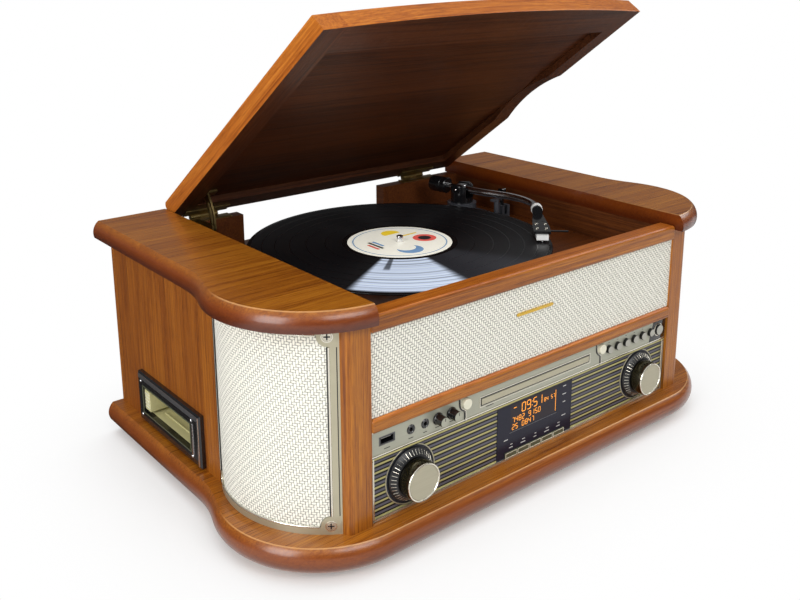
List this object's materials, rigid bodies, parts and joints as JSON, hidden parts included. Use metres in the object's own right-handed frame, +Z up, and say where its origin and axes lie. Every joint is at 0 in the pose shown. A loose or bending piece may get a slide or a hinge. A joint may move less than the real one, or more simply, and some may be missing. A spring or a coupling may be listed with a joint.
{
  "type": "music centre",
  "caption": "Wooden tabletop music centre: turntable under a hinged lid, curved cloth speakers, sliding disc tray, side cassette slot, radio knobs and push buttons.",
  "frame": {"origin": "on the floor, under the middle of the plinth", "axes": "+X to the right seen from the front, front towards -Y, +Z up; the lid is drawn open"},
  "size_m": [0.56, 0.3653, 0.4323],
  "materials": {
    "wood": "glossy lacquered veneer",
    "lid_veneer": "glossy lacquered veneer",
    "dark_wood": "satin dark stain",
    "deck_veneer": "satin veneer",
    "board": "black-brown board",
    "speaker_cloth": "basket weave grille cloth",
    "panel_cloth": "basket weave grille cloth",
    "champagne": "champagne lacquer",
    "driver": "black cone",
    "screw": "plated screw",
    "rubber": "matte",
    "fascia": "satin silver lacquer",
    "stripes": "striped print",
    "display": "dark glossy window",
    "key": "satin olive",
    "preset_cap": "satin chrome",
    "cream": "gloss cream",
    "knob": "dark gloss with metal cap",
    "black_plastic": "gloss black",
    "cream_plastic": "cream",
    "circuit": "board green",
    "platter": "satin",
    "vinyl": "grooved vinyl",
    "brass": "satin brass",
    "steel": "plated steel",
    "chrome": "polished"
  },
  "bodies": {
    "cabinet": {"base_plinth": "wood", "cabinet_fittings": "brass", "cassette_bezel": "black_plastic", "cassette_mechanism": "cream_plastic", "cd_loader": "black_plastic", "circuit_boards": "circuit", "deck_plate": "deck_veneer", "display_window": "display", "drive_belt": "rubber", "drive_motor": "steel", "fascia_moulding": "fascia", "front_cloth_panel": "panel_cloth", "front_frame": "wood", "grille_screws": "screw", "rear_panel": "board", "rubber_feet": "rubber", "side_panels": "wood", "sockets": "black_plastic", "speaker_baffles": "board", "speaker_cloths": "speaker_cloth", "speaker_drivers": "driver", "speaker_frames": "champagne", "striped_panel": "stripes", "tonearm_base": "black_plastic", "top_wings": "wood", "well_frame": "dark_wood"},
    "lid": {"lid_frame": "wood", "lid_panel": "lid_veneer", "lid_fittings": "brass"},
    "turntable": {"platter": "platter", "vinyl_record": "vinyl"},
    "pulley": {"motor_pulley": "brass"},
    "tray": {"cd_tray": "black_plastic", "cd_tray_door": "champagne"},
    "arm_pivot": {"tonearm_yoke": "black_plastic"},
    "tonearm": {"tonearm_tube": "chrome", "counterweight": "chrome", "headshell": "black_plastic", "cartridge": "cream_plastic"},
    "cue_lever": {"cue_lever": "black_plastic"},
    "speed_lever": {"speed_lever": "black_plastic"},
    "volume_knob": {"volume_knob": "knob"},
    "tuning_knob": {"tuning_knob": "knob"},
    "bass_knob": {"bass_knob": "knob"},
    "treble_knob": {"treble_knob": "knob"},
    "left_round_button": {"left_round_button": "cream"},
    "right_round_button": {"right_round_button": "cream"},
    "power_button": {"power_button": "preset_cap"},
    "cassette_eject_button": {"cassette_eject_button": "cream_plastic"},
    "preset_button_1": {"preset_button_1": "preset_cap"},
    "preset_button_2": {"preset_button_2": "preset_cap"},
    "preset_button_3": {"preset_button_3": "preset_cap"},
    "preset_button_4": {"preset_button_4": "preset_cap"},
    "preset_button_5": {"preset_button_5": "preset_cap"},
    "preset_button_6": {"preset_button_6": "preset_cap"},
    "display_button_1": {"display_button_1": "key"},
    "display_button_2": {"display_button_2": "key"},
    "display_button_3": {"display_button_3": "key"},
    "display_button_4": {"display_button_4": "key"},
    "display_button_5": {"display_button_5": "key"}
  },
  "joints": [
    {"name": "lid_hinge", "type": "hinge", "parent": "cabinet", "child": "lid", "pos_m": [0, 0.176, 0.2069], "axis": [-1, 0, 0], "range_deg": [-36, 0]},
    {"name": "platter_spin", "type": "hinge", "parent": "cabinet", "child": "turntable", "pos_m": [-0.025, 0.006, 0.175], "axis": [0, 0, -1], "continuous": true},
    {"name": "pulley_spin", "type": "hinge", "parent": "cabinet", "child": "pulley", "pos_m": [-0.0943, 0.0753, 0.18], "axis": [0, 0, -1], "continuous": true},
    {"name": "tray_slide", "type": "slide", "parent": "cabinet", "child": "tray", "axis": [0, -1, 0], "range_m": [0, 0.125]},
    {"name": "arm_swing", "type": "hinge", "parent": "cabinet", "child": "arm_pivot", "pos_m": [0.14, 0.094, 0.195], "axis": [0, 0, 1], "range_deg": [-30, 4.5]},
    {"name": "arm_lift", "type": "hinge", "parent": "arm_pivot", "child": "tonearm", "pos_m": [0.14, 0.094, 0.206], "axis": [-0.9781, -0.2079, 0], "range_deg": [0, 7]},
    {"name": "cue_lever_tilt", "type": "hinge", "parent": "cabinet", "child": "cue_lever", "pos_m": [0.172, 0.06, 0.183], "axis": [1, 0, 0], "range_deg": [-25, 25]},
    {"name": "speed_lever_turn", "type": "hinge", "parent": "cabinet", "child": "speed_lever", "pos_m": [0.11, 0.124, 0.174], "axis": [0, 0, 1], "range_deg": [-20, 20]},
    {"name": "volume_turn", "type": "hinge", "parent": "cabinet", "child": "volume_knob", "pos_m": [-0.148, -0.16, 0.0595], "axis": [0, 1, 0], "range_deg": [-150, 150]},
    {"name": "tuning_turn", "type": "hinge", "parent": "cabinet", "child": "tuning_knob", "pos_m": [0.148, -0.16, 0.0595], "axis": [0, 1, 0], "continuous": true},
    {"name": "bass_turn", "type": "hinge", "parent": "cabinet", "child": "bass_knob", "pos_m": [-0.12, -0.16, 0.1], "axis": [0, 1, 0], "range_deg": [-140, 140]},
    {"name": "treble_turn", "type": "hinge", "parent": "cabinet", "child": "treble_knob", "pos_m": [-0.105, -0.16, 0.1], "axis": [0, 1, 0], "range_deg": [-140, 140]},
    {"name": "display_button_1_press", "type": "slide", "parent": "cabinet", "child": "display_button_1", "axis": [0, 1, 0], "range_m": [0, 0.001], "stiffness_N_per_m": 300, "springref_m": -0.0005},
    {"name": "display_button_2_press", "type": "slide", "parent": "cabinet", "child": "display_button_2", "axis": [0, 1, 0], "range_m": [0, 0.001], "stiffness_N_per_m": 300, "springref_m": -0.0005},
    {"name": "display_button_3_press", "type": "slide", "parent": "cabinet", "child": "display_button_3", "axis": [0, 1, 0], "range_m": [0, 0.001], "stiffness_N_per_m": 300, "springref_m": -0.0005},
    {"name": "display_button_4_press", "type": "slide", "parent": "cabinet", "child": "display_button_4", "axis": [0, 1, 0], "range_m": [0, 0.001], "stiffness_N_per_m": 300, "springref_m": -0.0005},
    {"name": "display_button_5_press", "type": "slide", "parent": "cabinet", "child": "display_button_5", "axis": [0, 1, 0], "range_m": [0, 0.001], "stiffness_N_per_m": 300, "springref_m": -0.0005},
    {"name": "preset_button_1_press", "type": "slide", "parent": "cabinet", "child": "preset_button_1", "axis": [0, 1, 0], "range_m": [0, 0.001], "stiffness_N_per_m": 300, "springref_m": -0.0005},
    {"name": "preset_button_2_press", "type": "slide", "parent": "cabinet", "child": "preset_button_2", "axis": [0, 1, 0], "range_m": [0, 0.001], "stiffness_N_per_m": 300, "springref_m": -0.0005},
    {"name": "preset_button_3_press", "type": "slide", "parent": "cabinet", "child": "preset_button_3", "axis": [0, 1, 0], "range_m": [0, 0.001], "stiffness_N_per_m": 300, "springref_m": -0.0005},
    {"name": "preset_button_4_press", "type": "slide", "parent": "cabinet", "child": "preset_button_4", "axis": [0, 1, 0], "range_m": [0, 0.001], "stiffness_N_per_m": 300, "springref_m": -0.0005},
    {"name": "preset_button_5_press", "type": "slide", "parent": "cabinet", "child": "preset_button_5", "axis": [0, 1, 0], "range_m": [0, 0.001], "stiffness_N_per_m": 300, "springref_m": -0.0005},
    {"name": "preset_button_6_press", "type": "slide", "parent": "cabinet", "child": "preset_button_6", "axis": [0, 1, 0], "range_m": [0, 0.001], "stiffness_N_per_m": 300, "springref_m": -0.0005},
    {"name": "left_round_button_press", "type": "slide", "parent": "cabinet", "child": "left_round_button", "axis": [0, 1, 0], "range_m": [0, 0.001], "stiffness_N_per_m": 300, "springref_m": -0.0005},
    {"name": "right_round_button_press", "type": "slide", "parent": "cabinet", "child": "right_round_button", "axis": [0, 1, 0], "range_m": [0, 0.001], "stiffness_N_per_m": 300, "springref_m": -0.0005},
    {"name": "power_button_press", "type": "slide", "parent": "cabinet", "child": "power_button", "axis": [0, 1, 0], "range_m": [0, 0.001], "stiffness_N_per_m": 300, "springref_m": -0.0005},
    {"name": "cassette_eject_button_press", "type": "slide", "parent": "cabinet", "child": "cassette_eject_button", "axis": [1, 0, 0], "range_m": [0, 0.003], "stiffness_N_per_m": 300, "springref_m": -0.0015}
  ],
  "couplings": [
    {"joint": "pulley_spin", "follows": "platter_spin", "ratio": 12}
  ]
}
